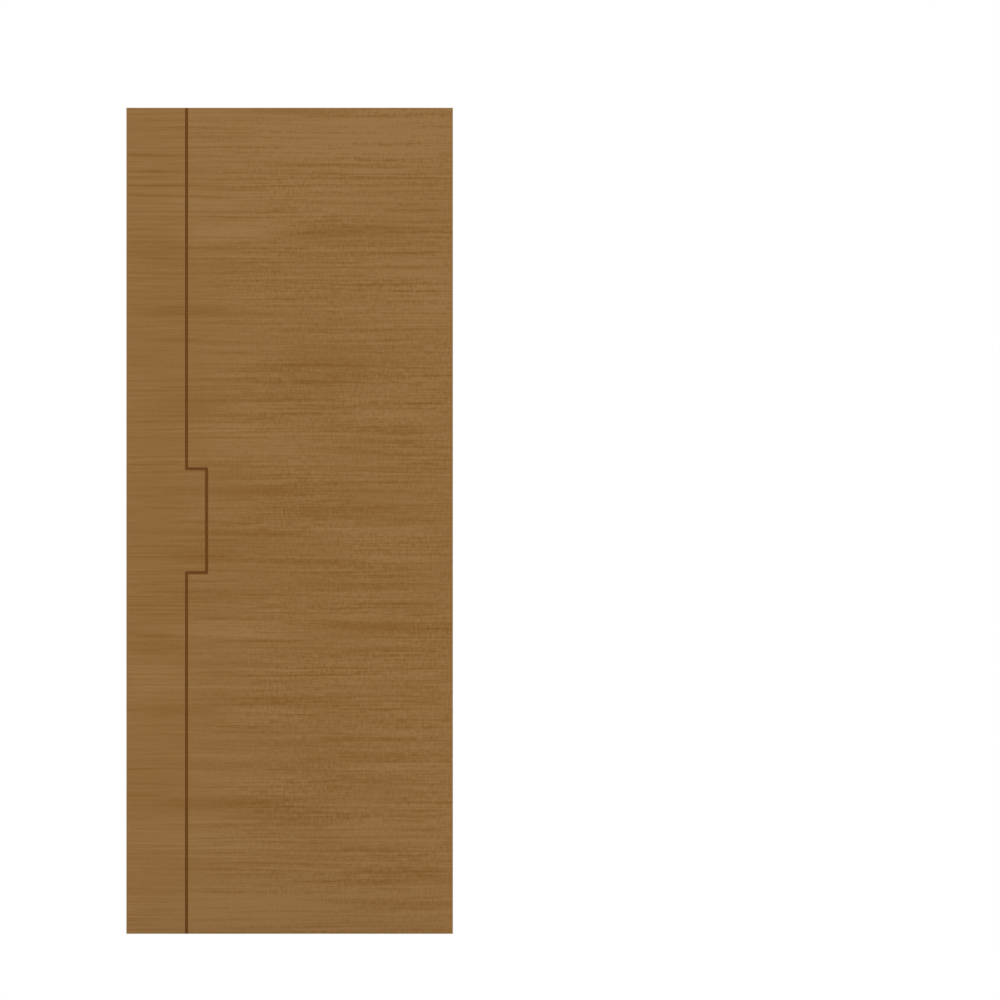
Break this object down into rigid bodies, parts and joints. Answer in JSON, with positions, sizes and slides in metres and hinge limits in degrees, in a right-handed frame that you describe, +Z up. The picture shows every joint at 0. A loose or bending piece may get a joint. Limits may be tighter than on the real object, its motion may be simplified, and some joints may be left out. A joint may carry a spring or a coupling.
{
  "type": "flush interior door leaf",
  "caption": "Flush interior door leaf with wood-grain melamine faces, one routed groove running from foot to head that steps towards the hinges beside the handle, and edge bands.",
  "frame": {"origin": "foot of the hinge edge's flat face, at mid thickness", "axes": "+X out of the hinge edge, -Y out of the front face, +Z up along the hinge edge"},
  "size_m": [0.83, 0.04, 2.1],
  "materials": {
    "melamine": "satin",
    "fibreboard": "matte",
    "edge_band": "satin",
    "pine": "matte",
    "chipboard": "matte"
  },
  "bodies": {
    "root": {"lock_stile": "pine", "hinge_stile": "pine", "top_rail": "pine", "bottom_rail": "pine", "lock_block": "pine", "upper_core": "chipboard", "middle_core": "chipboard", "lower_core": "chipboard", "front_face_board": "fibreboard", "back_face_board": "fibreboard", "front_melamine_lock_side": "melamine", "front_melamine_hinge_side": "melamine", "back_melamine_lock_side": "melamine", "back_melamine_hinge_side": "melamine", "lock_edge_band": "edge_band", "hinge_edge_band": "edge_band"}
  },
  "joints": []
}
